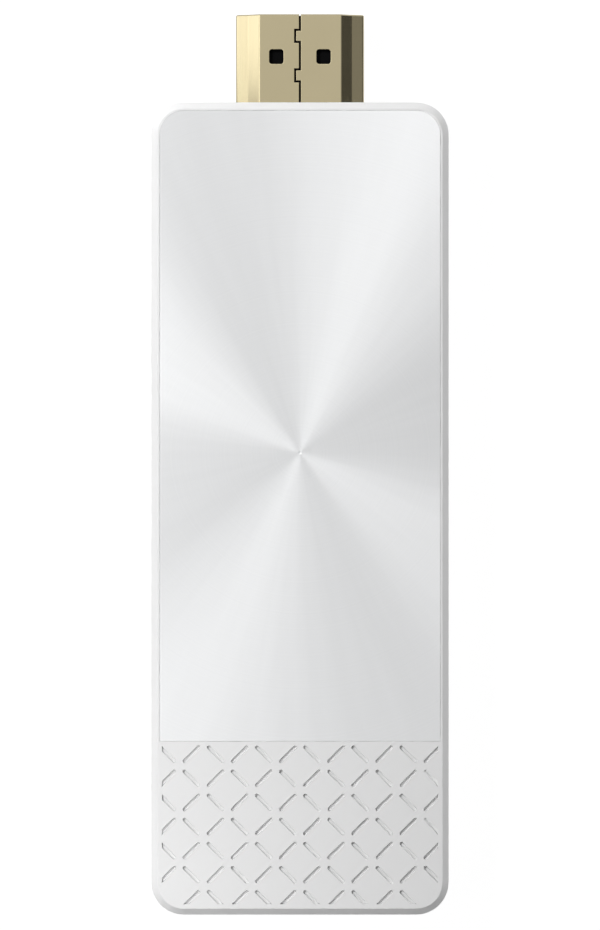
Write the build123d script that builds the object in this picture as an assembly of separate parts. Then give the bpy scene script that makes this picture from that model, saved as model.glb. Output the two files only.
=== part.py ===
from build123d import *
import os

# Wireless display dongle, a flat stick with a video plug at one end, in millimetres.
# It lies on its underside. +Y points out of the plug, +Z is the decorated face, +X is the button side.
# The origin is at the middle of the object's length and width, on the surface that it lies on.

# Case
case_width = 32.1
case_length = 87.7
case_height = 12.0
case_corner_radius = 3.5
face_chamfer = 0.68
face_edge_radius = 0.1
base_fillet = 0.9
wall = 1.3
roof = 1.5
floor = 1.3
rim_groove = 0.15

# How far a cutter runs past what it cuts, and how far welded shapes run into each other
past = 1.0
bite = 0.05

# Video plug, seen from the front: one wide side down, two folds each side up to the narrow side
plug_reach = 9.7
plug_width = 13.9
plug_height = 4.45
plug_fold_width = 11.24
plug_narrow_width = 8.92
plug_side_top = 0.45
plug_fold_height = 1.05
plug_centre_z = 5.8
plug_sheet = 0.3
plug_bend_radius = 0.4
plug_least_bend = 0.05
plug_lead_in = 0.12
plug_inside_length = 4.0
plug_opening_gap = 0.1

# Seam and latch windows of the plug's sheet metal
seam_width = 0.2
seam_tab_depth = 0.515
seam_tab_length = 1.31
seam_tab_starts = (1.69, 5.98)
window_width = 1.53
window_length = 1.58
window_corner_radius = 0.3
window_side_offset = 2.56
window_setback = 4.59
opening_edge_round = 0.06

# Solder legs of the plug
leg_width = 1.15
leg_length = 2.4
leg_sheet = 0.3

# Plug insulator and contacts
insulator_gap = 0.03
insulator_recess = 0.15
insulator_tail = 0.6
socket_slot_width = 11.2
socket_slot_height = 2.0
socket_slot_depth = 7.0
latch_pocket_depth = 0.5
latch_pocket_gap = 0.1
contact_pitch = 1.0
contact_width = 0.45
contact_thickness = 0.2
contact_proud = 0.05
contact_gap = 0.03
contact_setback = 0.85
contact_tail_length = 2.1
contact_drop_gap = 0.1
upper_contact_count = 9
lower_contact_count = 10

# Decor plate, its adhesive and the recess that holds them
plate_thickness = 0.5
plate_gap = 0.015
plate_rim = 0.2
adhesive_thickness = 0.1
adhesive_inset = 0.6

# Band of crossed dashes beside the plate
band_length = 18.73
dash_pitch = 2.6
dash_length = 2.52
dash_width = 0.44
dash_depth = 0.3
dash_draft = 8.0
dash_lean = 45.0
dash_first_row = 1.4
dash_margin = 0.48
dash_kept_share = 0.5

# Lip of the top cover and its rebate in the bottom cover
lip_thickness = 0.55
lip_height = 1.2
lip_gap = 0.06
lip_break_gap = 0.7

# Snap hooks of the top cover and their pockets in the bottom cover
hook_width = 5.0
hook_thickness = 0.75
hook_gap = 0.06
hook_reach = 3.1
hook_catch_height = 0.7
hook_catch_depth = 0.45
hook_pocket_gap = 0.1
hook_side_gap = 0.2
hook_front_inset = 14.0
hook_middle_inset = 42.0
hook_tail_inset = 8.2

# Main board
board_thickness = 1.0
board_side_gap = 1.25
board_front_gap = 3.1
board_tail_gap = 1.0
board_corner_radius = 1.5

# Screws and the posts that they hold the board to
screw_radius = 0.8
screw_length = 3.2
screw_head_radius = 1.4
screw_head_height = 0.8
screw_drive_width = 0.4
screw_drive_length = 1.6
screw_drive_depth = 0.45
screw_head_crown = 0.6
screw_pilot_depth = 3.4
screw_post_gap = 0.02
screw_board_gap = 0.15
screw_side_inset = 2.2
screw_front_inset = 2.8
screw_tail_inset = 4.9
post_radius = 1.9

# Ledges under the board's long edges, with ribs of the top cover above them
ledge_length = 1.2
ledge_reach = 1.1
ledge_front_inset = 29.0
ledge_tail_inset = 30.7
hold_down_gap = 0.05
saddle_length = 1.0

# Power inlet, a small five-contact socket at the tail
inlet_width = 7.5
inlet_height = 2.5
inlet_bottom_width = 5.5
inlet_side_height = 1.45
inlet_sheet = 0.3
inlet_length = 5.0
inlet_recess = 0.1
inlet_opening_gap = 0.15
inlet_opening_chamfer = 0.3
inlet_base_length = 1.2
inlet_tongue_width = 3.9
inlet_tongue_thickness = 0.65
inlet_tongue_offset = 0.1
inlet_tongue_recess = 0.7
inlet_contact_pitch = 0.65
inlet_contact_width = 0.3
inlet_contact_thickness = 0.15
inlet_contact_setback = 0.2
inlet_contact_tail = 1.0
inlet_contact_count = 5
inlet_ear_width = 1.45
inlet_ear_length = 1.2
inlet_ear_setback = 2.6
inlet_cutout_gap = 0.15
inlet_cutout_back_gap = 0.4

# Mode button, its switch and the travel that they share
button_length = 7.0
button_height = 2.2
button_gap = 0.15
button_recess = 0.04
button_flange = 0.7
button_flange_thickness = 0.5
button_flange_gap = 0.05
button_edge_radius = 0.2
button_tail_inset = 20.7
button_travel = 0.3
switch_depth = 2.0
switch_width = 4.6
switch_height = 2.4
switch_setback = 0.2
switch_cover_sheet = 0.2
switch_back = 0.6
switch_cavity_width = 3.0
switch_cavity_height = 1.6
switch_arm_length = 1.2
switch_arm_height = 1.6
switch_arm_thickness = 0.15
plunger_nose_width = 1.6
plunger_nose_height = 0.9
plunger_shoulder_width = 2.6
plunger_shoulder_height = 1.3
plunger_gap = 0.08
plunger_stop_gap = 0.05
dome_rest_height = 0.1
dome_radius = 0.75
dome_sheet = 0.08
dome_gap = 0.02
terminal_length = 0.7
terminal_width = 0.6
terminal_thickness = 0.15
terminal_spacing = 3.0

# Status light and the light pipe in the tail wall
light_pipe_offset = 9.0
light_pipe_radius = 0.75
light_pipe_gap = 0.04
light_pipe_recess = 0.03
light_pipe_flange_radius = 1.15
light_pipe_flange_thickness = 0.6
light_width = 3.2
light_depth = 1.0
light_height = 1.6

# Processor with its pad and heat sink, and the chips beside it
processor_side = 14.0
processor_height = 1.2
processor_front_inset = 26.6
pad_thickness = 0.3
sink_width = 18.0
sink_length = 20.0
sink_base = 0.7
sink_roof_gap = 0.4
sink_fin_thickness = 0.6
sink_fin_pitch = 1.74
sink_fin_count = 11
memory_width = 8.0
memory_length = 12.0
memory_height = 1.0
memory_spacing = 11.0
memory_gap = 2.0
flash_width = 11.5
flash_length = 13.0
flash_height = 1.0

# Power parts
power_offset = 20.0
power_chip_side = 5.0
power_chip_height = 0.9
inductor_side = 4.0
inductor_height = 2.0
inductor_corner_radius = 0.7
inductor_pitch = 5.4
inductor_count = 3
inductor_offset = 7.0
tantalum_width = 2.8
tantalum_length = 3.5
tantalum_height = 1.9
tantalum_pitch = 5.0
tantalum_count = 2

# Small parts, set in rows
capacitor_width = 0.8
capacitor_length = 1.6
capacitor_height = 0.8
capacitor_pitch = 2.4
capacitor_count = 6
capacitor_offset = 3.4
resistor_width = 0.5
resistor_length = 1.0
resistor_height = 0.35
resistor_pitch = 1.8
resistor_count = 7
crystal_width = 2.5
crystal_length = 3.2
crystal_height = 0.8
crystal_gap = 2.2
filter_width = 1.2
filter_length = 2.0
filter_height = 0.9
filter_pitch = 2.4
filter_count = 4
filter_front_inset = 3.3

# Wireless module and antennas
module_side = 12.0
module_board_height = 0.6
module_tail_inset = 12.6
module_shield_inset = 0.4
module_shield_height = 1.6
module_shield_sheet = 0.2
module_chip_side = 5.0
module_chip_height = 0.8
antenna_width = 2.0
antenna_length = 7.0
antenna_height = 0.8
antenna_edge_inset = 0.4
antenna_tail_inset = 11.4

# Bare label on the underside, and the vents
label_width = 22.0
label_length = 32.0
label_corner_radius = 1.0
label_thickness = 0.1
label_recess = 0.16
label_gap = 0.15
label_tail_inset = 27.0
vent_length = 14.0
vent_width = 1.1
vent_pitch = 2.6
vent_count = 7

# Places that follow from the sizes above
total_length = case_length + plug_reach
plug_tip_y = total_length / 2
case_front_y = plug_tip_y - plug_reach
case_tail_y = -total_length / 2
case_middle_y = (case_front_y + case_tail_y) / 2
case_side_x = case_width / 2
inner_side_x = case_side_x - wall
inner_front_y = case_front_y - wall
inner_tail_y = case_tail_y + wall
parting_z = plug_centre_z
ceiling_z = case_height - roof

board_top_z = plug_centre_z + board_thickness / 2
board_bottom_z = plug_centre_z - board_thickness / 2
board_side_x = inner_side_x - board_side_gap
board_front_y = inner_front_y - board_front_gap
board_tail_y = inner_tail_y + board_tail_gap
screw_x = board_side_x - screw_side_inset
screw_ys = (board_front_y - screw_front_inset, board_tail_y + screw_tail_inset)
ledge_ys = (case_front_y - ledge_front_inset, case_tail_y + ledge_tail_inset)
hook_ys = (
    case_front_y - hook_front_inset,
    case_front_y - hook_middle_inset,
    case_tail_y + hook_tail_inset,
)

plug_back_y = inner_front_y - plug_inside_length + wall
insulator_front_y = plug_tip_y - insulator_recess
insulator_back_y = plug_back_y + insulator_tail
band_line_y = case_tail_y + band_length
button_y = case_tail_y + button_tail_inset
button_z = board_top_z + switch_height / 2
switch_front_x = board_side_x - switch_setback
processor_y = board_front_y - processor_front_inset
power_y = processor_y - power_offset
module_y = board_tail_y + module_tail_inset
label_y = case_tail_y + label_tail_inset
light_pipe_z = board_top_z + light_height / 2
dome_height = button_travel + dome_rest_height


def block(x_span, y_span, z_span):
    """A box between two values along each axis."""
    sizes = [high - low for low, high in (x_span, y_span, z_span)]
    centre = [(high + low) / 2 for low, high in (x_span, y_span, z_span)]
    return Pos(*centre) * Box(*sizes)


def around(middle, size):
    """The two ends of a size that is centred on a value."""
    return (middle - size / 2, middle + size / 2)


def grown(span, gap):
    """A span with a gap added at both ends."""
    return (span[0] - gap, span[1] + gap)


def prism(sketch, z_span):
    """A flat shape raised between two heights."""
    return Pos(0, 0, z_span[0]) * extrude(sketch, z_span[1] - z_span[0])


def tube_along_y(sketch, y_span, z):
    """A shape drawn as seen from the tail, run between two places along the length."""
    return Pos(0, y_span[1], z) * extrude(Plane.XZ * sketch, y_span[1] - y_span[0])


def case_outline(inset):
    """The case seen from above, drawn in by an inset."""
    radius = max(case_corner_radius - inset, face_edge_radius)
    outline = RectangleRounded(case_width - 2 * inset, case_length - 2 * inset, radius)
    return Pos(0, case_middle_y) * outline


def plug_outline(inset):
    """The plug's cross-section, drawn in by an inset."""
    half_wide = plug_width / 2
    half_fold = plug_fold_width / 2
    half_narrow = plug_narrow_width / 2
    half_height = plug_height / 2
    right = [
        (half_wide, -half_height),
        (half_wide, plug_side_top),
        (half_fold, plug_fold_height),
        (half_narrow, half_height),
    ]
    left = [(-x, z) for x, z in reversed(right)]
    sharp = make_face(Polyline(*right, *left, close=True))
    if inset != 0:
        sharp = offset(sharp, -inset, kind=Kind.INTERSECTION)
    return fillet(sharp.vertices(), max(plug_bend_radius - inset, plug_least_bend))


def inlet_outline(inset):
    """The inlet's cross-section, drawn in by an inset."""
    half_wide = inlet_width / 2
    half_bottom = inlet_bottom_width / 2
    half_height = inlet_height / 2
    right = [
        (half_bottom, -half_height),
        (half_wide, half_height - inlet_side_height),
        (half_wide, half_height),
    ]
    left = [(-x, z) for x, z in reversed(right)]
    sharp = make_face(Polyline(*right, *left, close=True))
    if inset != 0:
        sharp = offset(sharp, -inset, kind=Kind.INTERSECTION)
    return sharp


def oblong_along_x(length, height, x_span):
    """A round-ended bar of the button's kind, centred on the button."""
    sketch = Plane.YZ * SlotOverall(length, height)
    return Pos(x_span[0], button_y, button_z) * extrude(sketch, x_span[1] - x_span[0])


def both_sides(piece):
    """A piece and its mirror image across the middle plane."""
    return [piece, mirror(piece, about=Plane.YZ)]


def plate_recess_outline(inset):
    """The decor plate's recess seen from above: rounded at the plug end, straight at the band."""
    rounded = case_outline(face_chamfer + plate_rim + inset)
    beyond_band = Pos(0, band_line_y + inset + case_length / 2) * Rectangle(case_width, case_length)
    return rounded & beyond_band


def dashes():
    """Tapered cutters for the crossed dashes, alternating left and right like a chessboard."""
    clip = case_outline(face_chamfer + dash_margin)
    clip_side_x = case_side_x - face_chamfer - dash_margin
    clip_bottom_y = case_tail_y + face_chamfer + dash_margin
    column_count = int(clip_side_x / dash_pitch + 0.5)
    row_count = int((band_line_y - dash_first_row - clip_bottom_y) / dash_pitch) + 1
    cutters = []
    for row in range(row_count):
        y = band_line_y - dash_first_row - row * dash_pitch
        for column in range(-column_count, column_count):
            x = (column + 0.5) * dash_pitch
            lean = dash_lean if (row + column) % 2 else -dash_lean
            whole = Pos(x, y) * Rot(0, 0, lean) * SlotOverall(dash_length, dash_width)
            kept = whole & clip
            if kept.area < dash_kept_share * whole.area:
                continue
            sunk = extrude(kept, dash_depth, dir=(0, 0, -1), taper=dash_draft)
            cutters.append(Pos(0, 0, case_height) * sunk)
    return cutters


def plug_opening():
    """The plug's way out through the front wall."""
    y_span = (inner_front_y - saddle_length - past, case_front_y + past)
    return tube_along_y(plug_outline(-plug_opening_gap), y_span, plug_centre_z)


def inlet_opening():
    """The inlet's way out through the tail wall, chamfered outside."""
    y_span = (case_tail_y - past, inner_tail_y + bite)
    passage = tube_along_y(inlet_outline(-inlet_opening_gap), y_span, plug_centre_z)
    wide = inlet_outline(-inlet_opening_gap - inlet_opening_chamfer)
    mouth = extrude(Plane.XZ * wide, -inlet_opening_chamfer, taper=45)
    return [passage, Pos(0, case_tail_y, plug_centre_z) * mouth]


def light_pipe_bar(radius, y_span):
    """A round bar along the light pipe's axis."""
    bar = Rot(-90, 0, 0) * Cylinder(radius, y_span[1] - y_span[0])
    return Pos(light_pipe_offset, sum(y_span) / 2, light_pipe_z) * bar


def lip():
    """The top cover's lip, left out where the button goes in."""
    outer = case_outline(wall - lip_thickness)
    ring = prism(outer - case_outline(wall), (parting_z - lip_height, parting_z))
    button_room = block(
        (inner_side_x - past, case_side_x),
        around(button_y, button_length + 2 * button_flange + 2 * lip_break_gap),
        grown((parting_z - lip_height, parting_z), past),
    )
    return ring - button_room


def hook(y):
    """One snap hook inside the right wall, with its catch pointing outwards."""
    face_x = inner_side_x - hook_gap
    tip_z = parting_z - hook_reach
    y_span = around(y, hook_width)
    arm = block((face_x - hook_thickness, face_x), y_span, (tip_z, ceiling_z + bite))
    root = block((face_x - bite, inner_side_x + bite), y_span, (parting_z - lip_height, ceiling_z + bite))
    catch_top_z = tip_z + hook_catch_depth + hook_catch_height
    catch = make_face(
        Polyline(
            (face_x - bite, tip_z),
            (face_x, tip_z),
            (face_x + hook_catch_depth, tip_z + hook_catch_depth),
            (face_x + hook_catch_depth, catch_top_z),
            (face_x - bite, catch_top_z),
            close=True,
        )
    )
    return arm + root + tube_along_y(catch, y_span, 0)


def hook_pocket(y):
    """The pocket in the bottom cover's wall that one catch snaps into."""
    tip_z = parting_z - hook_reach
    top_z = tip_z + hook_catch_depth + hook_catch_height + hook_pocket_gap
    return block(
        (inner_side_x - past, inner_side_x + hook_catch_depth),
        around(y, hook_width + 2 * hook_side_gap),
        (tip_z - hook_pocket_gap, top_z),
    )


def hold_down_rib(y):
    """A rib from the top cover's roof and wall down to the board's edge."""
    return block(
        (board_side_x - ledge_reach, inner_side_x + bite),
        around(y, ledge_length),
        (board_top_z + hold_down_gap, ceiling_z + bite),
    )


def top_saddle():
    """A rib around the plug's upper side, inside the front wall."""
    return block(
        around(0, plug_width),
        (inner_front_y - saddle_length, inner_front_y + bite),
        (parting_z + hold_down_gap, ceiling_z + bite),
    )


def make_top_cover():
    """The upper shell, with the plate's recess, the band of dashes, the lip and the hooks."""
    body = prism(case_outline(0), (parting_z, case_height))
    body = chamfer(body.faces().sort_by(Axis.Z)[0].edges(), rim_groove)
    body = chamfer(body.faces().sort_by(Axis.Z)[-1].edges(), face_chamfer)
    chamfer_edges = body.edges().filter_by_position(
        Axis.Z, case_height - face_chamfer - bite, case_height + bite
    )
    level_edges = [edge for edge in chamfer_edges if edge.bounding_box().size.Z < bite]
    body = fillet(level_edges, face_edge_radius)
    body -= prism(case_outline(wall), (parting_z - past, ceiling_z))
    recess_z = case_height - plate_thickness - adhesive_thickness
    body -= prism(plate_recess_outline(0), (recess_z, case_height + past))
    body += lip()
    for y in hook_ys:
        body += both_sides(hook(y))
    for y in ledge_ys:
        body += both_sides(hold_down_rib(y))
    body += top_saddle()
    body -= plug_opening()
    body -= inlet_opening()
    body -= oblong_along_x(
        button_length + 2 * button_gap,
        button_height + 2 * button_gap,
        (inner_side_x - bite, case_side_x + past),
    )
    body -= light_pipe_bar(light_pipe_radius + light_pipe_gap, (case_tail_y - past, inner_tail_y + bite))
    return body - dashes()


def make_spun_plate():
    """The spun metal plate, flush with the face."""
    return prism(plate_recess_outline(plate_gap), (case_height - plate_thickness, case_height))


def make_plate_adhesive():
    """The adhesive film that holds the plate in its recess."""
    bottom_z = case_height - plate_thickness - adhesive_thickness
    return prism(plate_recess_outline(adhesive_inset), (bottom_z, bottom_z + adhesive_thickness))


def post(x, y):
    """A screw post from the floor up to the board."""
    return Pos(x, y, 0) * prism(Circle(post_radius), (floor - bite, board_bottom_z))


def ledge(y):
    """A ledge on the right wall that carries the board's edge."""
    return block(
        (board_side_x - ledge_reach, inner_side_x + bite),
        around(y, ledge_length),
        (floor - bite, board_bottom_z),
    )


def bottom_saddle():
    """A rib around the plug's lower side, inside the front wall."""
    return block(
        around(0, plug_width + 2 * wall),
        (inner_front_y - saddle_length, inner_front_y + bite),
        (floor - bite, parting_z - hold_down_gap),
    )


def label_outline(growth):
    """The label's outline, or its recess when it is grown."""
    return Pos(0, label_y) * RectangleRounded(
        label_width + 2 * growth, label_length + 2 * growth, label_corner_radius + growth
    )


def vents():
    """Cutters for the row of slots under the processor."""
    slot = prism(SlotOverall(vent_length, vent_width), grown((0, floor), past))
    first_y = processor_y - vent_pitch * (vent_count - 1) / 2
    return [Pos(0, first_y + vent_pitch * row, 0) * slot for row in range(vent_count)]


def make_bottom_cover():
    """The lower shell, with the lip's rebate, the hook pockets, the posts and the ledges."""
    body = prism(case_outline(0), (0, parting_z))
    body = fillet(body.faces().sort_by(Axis.Z)[0].edges(), base_fillet)
    body = chamfer(body.faces().sort_by(Axis.Z)[-1].edges(), rim_groove)
    body -= prism(case_outline(wall), (floor, parting_z + past))
    for y in ledge_ys:
        body += both_sides(ledge(y))
    body += bottom_saddle()
    rebate = case_outline(wall - lip_thickness - lip_gap) - case_outline(wall + lip_gap)
    body -= prism(rebate, (parting_z - lip_height - lip_gap, parting_z + past))
    for y in hook_ys:
        body -= both_sides(hook_pocket(y))
    for y in screw_ys:
        body += both_sides(post(screw_x, y))
    body -= plug_opening()
    body -= inlet_opening()
    pilot = prism(Circle(screw_radius + screw_post_gap), (board_top_z - screw_pilot_depth, board_top_z))
    for y in screw_ys:
        body -= both_sides(Pos(screw_x, y, 0) * pilot)
    body -= prism(label_outline(label_gap), (-past, label_recess))
    return body - vents()


def make_rating_label():
    """The bare label in its recess on the underside."""
    return prism(label_outline(0), (label_recess - label_thickness, label_recess))


def make_main_board():
    """The main board, cut out for the inlet and drilled for the screws."""
    middle_y = (board_front_y + board_tail_y) / 2
    outline = Pos(0, middle_y) * RectangleRounded(
        2 * board_side_x, board_front_y - board_tail_y, board_corner_radius
    )
    inlet_back_y = case_tail_y + inlet_recess + inlet_length
    cutout = block(
        around(0, inlet_width + 2 * inlet_cutout_gap),
        (case_tail_y, inlet_back_y + inlet_cutout_back_gap),
        grown((board_bottom_z, board_top_z), past),
    )
    board = prism(outline, (board_bottom_z, board_top_z)) - cutout
    hole = prism(Circle(screw_radius + screw_board_gap), grown((board_bottom_z, board_top_z), past))
    for y in screw_ys:
        board -= both_sides(Pos(screw_x, y, 0) * hole)
    return board


def make_board_screws():
    """Four screws through the board into the posts."""
    shank = prism(Circle(screw_radius), (-screw_length, bite))
    head = prism(Circle(screw_head_radius), (0, screw_head_height))
    head = fillet(head.faces().sort_by(Axis.Z)[-1].edges(), screw_head_crown)
    bar = prism(
        Rectangle(screw_drive_length, screw_drive_width),
        (screw_head_height - screw_drive_depth, screw_head_height + past),
    )
    screw = shank + head - bar - Rot(0, 0, 90) * bar
    return [Pos(x, y, board_top_z) * screw for x in (-screw_x, screw_x) for y in screw_ys]


def seam_slit():
    """Cutter for the plug's seam, with its two square tabs."""
    top_z = plug_centre_z + plug_height / 2
    z_span = (top_z - plug_sheet - bite, top_z + past)
    points = [(0, plug_tip_y + past)]
    for start in seam_tab_starts:
        tab_y = plug_tip_y - start
        points += [(0, tab_y), (-seam_tab_depth, tab_y)]
        points += [(-seam_tab_depth, tab_y - seam_tab_length), (0, tab_y - seam_tab_length)]
    points.append((0, plug_back_y - past))
    half = seam_width / 2
    pieces = []
    for (x0, y0), (x1, y1) in zip(points, points[1:]):
        x_span = (min(x0, x1) - half, max(x0, x1) + half)
        pieces.append(block(x_span, (min(y0, y1) - half, max(y0, y1) + half), z_span))
    return pieces


def solder_leg(z_span):
    """One solder leg on the plug's right side."""
    side_x = plug_width / 2
    y_span = (plug_back_y - leg_length, plug_back_y + leg_sheet)
    return block((side_x - leg_width, side_x), y_span, z_span)


def latch_windows(gap, z_span):
    """Cutters for the two latch windows, wider all round by a gap."""
    outline = RectangleRounded(window_width + 2 * gap, window_length + 2 * gap, window_corner_radius + gap)
    return both_sides(Pos(window_side_offset, plug_tip_y - window_setback, 0) * prism(outline, z_span))


def opening_edges(shell):
    """Edges round the latch windows and along the seam, on the outside of the shell."""
    half_flat = plug_narrow_width / 2 - plug_bend_radius
    found = []
    for side in (-1, 1):
        face_z = plug_centre_z + side * plug_height / 2
        level = shell.edges().filter_by_position(Axis.Z, face_z - bite, face_z + bite)
        inner = level.filter_by_position(Axis.X, -half_flat, half_flat)
        found += inner.filter_by_position(Axis.Y, plug_back_y + plug_lead_in, plug_tip_y - 2 * plug_lead_in)
    return found


def make_plug_shell():
    """The folded metal shell of the video plug."""
    y_span = (plug_back_y, plug_tip_y)
    shell = tube_along_y(plug_outline(0), y_span, plug_centre_z)
    shell = chamfer(shell.faces().sort_by(Axis.Y)[-1].edges(), plug_lead_in)
    shell -= tube_along_y(plug_outline(plug_sheet), grown(y_span, plug_sheet), plug_centre_z)
    shell -= seam_slit()
    shell -= latch_windows(0, grown(around(plug_centre_z, plug_height), past))
    shell = fillet(opening_edges(shell), opening_edge_round)
    for z_span in (
        (board_top_z, board_top_z + leg_sheet),
        (board_bottom_z - leg_sheet, board_bottom_z),
    ):
        shell += both_sides(solder_leg(z_span))
    return shell


def plug_contact_z(side):
    """Heights of a contact's run above the plug's middle, low one first; side is 1 above, -1 below."""
    near = socket_slot_height / 2 - contact_proud
    far = near + contact_thickness
    low, high = sorted((side * near, side * far))
    return (plug_centre_z + low, plug_centre_z + high)


def contact_xs(count, pitch):
    """Places of a centred row."""
    return [(index - (count - 1) / 2) * pitch for index in range(count)]


def make_plug_insulator():
    """The moulded block in the shell, with the slot, a passage for each contact and the latch pockets."""
    body = tube_along_y(
        plug_outline(plug_sheet + insulator_gap), (insulator_back_y, insulator_front_y), plug_centre_z
    )
    body -= block(
        around(0, socket_slot_width),
        (insulator_front_y - socket_slot_depth, insulator_front_y + past),
        around(plug_centre_z, socket_slot_height),
    )
    passage_y = (insulator_back_y - past, insulator_front_y - contact_setback + contact_gap)
    for side, count in ((1, upper_contact_count), (-1, lower_contact_count)):
        z_span = grown(plug_contact_z(side), contact_gap)
        body -= [
            block(grown(around(x, contact_width), contact_gap), passage_y, z_span)
            for x in contact_xs(count, contact_pitch)
        ]
    half_height = plug_height / 2 - plug_sheet - insulator_gap
    pocket_floor = half_height - latch_pocket_depth
    for side in (-1, 1):
        pocket_z = sorted(plug_centre_z + side * reach for reach in (pocket_floor, half_height + past))
        body -= latch_windows(latch_pocket_gap, pocket_z)
    return body


def make_plug_contacts(side, count):
    """A row of contacts: a run in the slot, a drop behind the insulator and a tail on the board."""
    run_z = plug_contact_z(side)
    board_z = plug_centre_z + side * board_thickness / 2
    tail_z = tuple(sorted((board_z, board_z + side * contact_thickness)))
    drop_z = (min(run_z[0], tail_z[0]), max(run_z[1], tail_z[1]))
    drop_front_y = insulator_back_y - contact_drop_gap
    drop_y = (drop_front_y - contact_thickness, drop_front_y)
    contacts = []
    for x in contact_xs(count, contact_pitch):
        x_span = around(x, contact_width)
        contact = block(x_span, (drop_y[0], insulator_front_y - contact_setback), run_z)
        contact += block(x_span, drop_y, drop_z)
        contact += block(x_span, (drop_y[1] - contact_tail_length, drop_y[1]), tail_z)
        contacts.append(contact)
    return contacts


def make_inlet_shell():
    """The inlet's metal shell, with two ears soldered to the board."""
    front_y = case_tail_y + inlet_recess
    ring = inlet_outline(0) - inlet_outline(inlet_sheet)
    shell = tube_along_y(ring, (front_y, front_y + inlet_length), plug_centre_z)
    side_x = inlet_width / 2
    ear_y = front_y + inlet_ear_setback
    ear = block(
        (side_x - inlet_sheet, side_x + inlet_ear_width),
        (ear_y, ear_y + inlet_ear_length),
        (board_top_z, board_top_z + inlet_sheet),
    )
    return shell + both_sides(ear)


def inlet_contact_z():
    """Heights of an inlet contact's run, under the tongue."""
    top_z = plug_centre_z + inlet_tongue_offset
    return (top_z - inlet_contact_thickness, top_z)


def make_inlet_insulator():
    """The inlet's moulded base with its tongue."""
    front_y = case_tail_y + inlet_recess
    back_y = front_y + inlet_length
    base = tube_along_y(
        inlet_outline(inlet_sheet + insulator_gap), (back_y - inlet_base_length, back_y), plug_centre_z
    )
    tongue_z = inlet_contact_z()[1]
    base += block(
        around(0, inlet_tongue_width),
        (front_y + inlet_tongue_recess, back_y - inlet_base_length + bite),
        (tongue_z, tongue_z + inlet_tongue_thickness),
    )
    passage_y = (back_y - inlet_base_length - past, back_y + past)
    return base - [
        block(
            grown(around(x, inlet_contact_width), contact_gap),
            passage_y,
            (inlet_contact_z()[0] - contact_gap, inlet_contact_z()[1]),
        )
        for x in contact_xs(inlet_contact_count, inlet_contact_pitch)
    ]


def make_inlet_contacts():
    """Five contacts: a run under the tongue, a rise behind the base and a tail on the board."""
    front_y = case_tail_y + inlet_recess + inlet_tongue_recess + inlet_contact_setback
    back_y = case_tail_y + inlet_recess + inlet_length
    rise_front_y = back_y + contact_drop_gap
    rise_y = (rise_front_y, rise_front_y + inlet_contact_thickness)
    tail_z = (board_top_z, board_top_z + inlet_contact_thickness)
    contacts = []
    for x in contact_xs(inlet_contact_count, inlet_contact_pitch):
        x_span = around(x, inlet_contact_width)
        contact = block(x_span, (front_y, rise_y[1]), inlet_contact_z())
        contact += block(x_span, rise_y, (inlet_contact_z()[0], tail_z[1]))
        contact += block(x_span, (rise_y[0], rise_y[1] + inlet_contact_tail), tail_z)
        contacts.append(contact)
    return contacts


def make_mode_button():
    """The button: a round-ended cap in the side wall, kept in by a flange behind it."""
    flange_front_x = inner_side_x - button_flange_gap
    flange_back_x = flange_front_x - button_flange_thickness
    cap = oblong_along_x(button_length, button_height, (flange_back_x, case_side_x - button_recess))
    cap = fillet(cap.faces().sort_by(Axis.X)[-1].edges(), button_edge_radius)
    return cap + oblong_along_x(
        button_length + 2 * button_flange,
        button_height + 2 * button_flange,
        (flange_back_x, flange_front_x),
    )


def switch_block(x_span, width, height):
    """A block centred on the switch's own axis."""
    return block(x_span, around(button_y, width), around(button_z, height))


def make_switch_base():
    """The switch's moulded base with its cavity."""
    back_x = switch_front_x - switch_depth
    front_x = switch_front_x - switch_cover_sheet
    base = switch_block((back_x, front_x), switch_width, switch_height)
    cavity_x = (back_x + switch_back, front_x + past)
    return base - switch_block(cavity_x, switch_cavity_width, switch_cavity_height)


def make_switch_cover():
    """The sheet-metal cover that keeps the plunger in, with an arm down each side."""
    plate = switch_block(
        (switch_front_x - switch_cover_sheet, switch_front_x),
        switch_width + 2 * switch_arm_thickness,
        switch_height,
    )
    hole = switch_block(
        (switch_front_x - switch_cover_sheet - past, switch_front_x + past),
        plunger_nose_width + 2 * plunger_gap,
        plunger_nose_height + 2 * plunger_gap,
    )
    cover = plate - hole
    for side in (-1, 1):
        edge_y = button_y + side * (switch_width + switch_arm_thickness) / 2
        cover += block(
            (switch_front_x - switch_arm_length, switch_front_x),
            around(edge_y, switch_arm_thickness),
            (board_top_z, board_top_z + switch_arm_height),
        )
    return cover


def dome_floor_x():
    """Where the dome rests in the switch's cavity."""
    return switch_front_x - switch_depth + switch_back


def make_switch_dome():
    """The snap dome, a thin round cap that springs the plunger back."""
    ball_radius = (dome_radius**2 + dome_height**2) / (2 * dome_height)
    base_x = ball_radius - dome_height
    ring = Circle(ball_radius) - Circle(ball_radius - dome_sheet)
    section = ring & (Pos(base_x + dome_height, dome_radius) * Rectangle(2 * dome_height, 2 * dome_radius))
    return Pos(dome_floor_x() - base_x, button_y, button_z) * revolve(section, Axis.X)


def make_switch_plunger():
    """The plunger, from the dome to the button's flange."""
    shoulder_x = (
        dome_floor_x() + dome_height + dome_gap,
        switch_front_x - switch_cover_sheet - plunger_stop_gap,
    )
    nose_end_x = inner_side_x - button_flange_gap - button_flange_thickness
    shoulder = switch_block(shoulder_x, plunger_shoulder_width, plunger_shoulder_height)
    return shoulder + switch_block((shoulder_x[0], nose_end_x), plunger_nose_width, plunger_nose_height)


def make_switch_terminals():
    """Two solder terminals behind the switch."""
    back_x = switch_front_x - switch_depth
    return [
        block(
            (back_x - terminal_length, back_x),
            around(button_y + y, terminal_width),
            (board_top_z, board_top_z + terminal_thickness),
        )
        for y in (-terminal_spacing / 2, terminal_spacing / 2)
    ]


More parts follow.
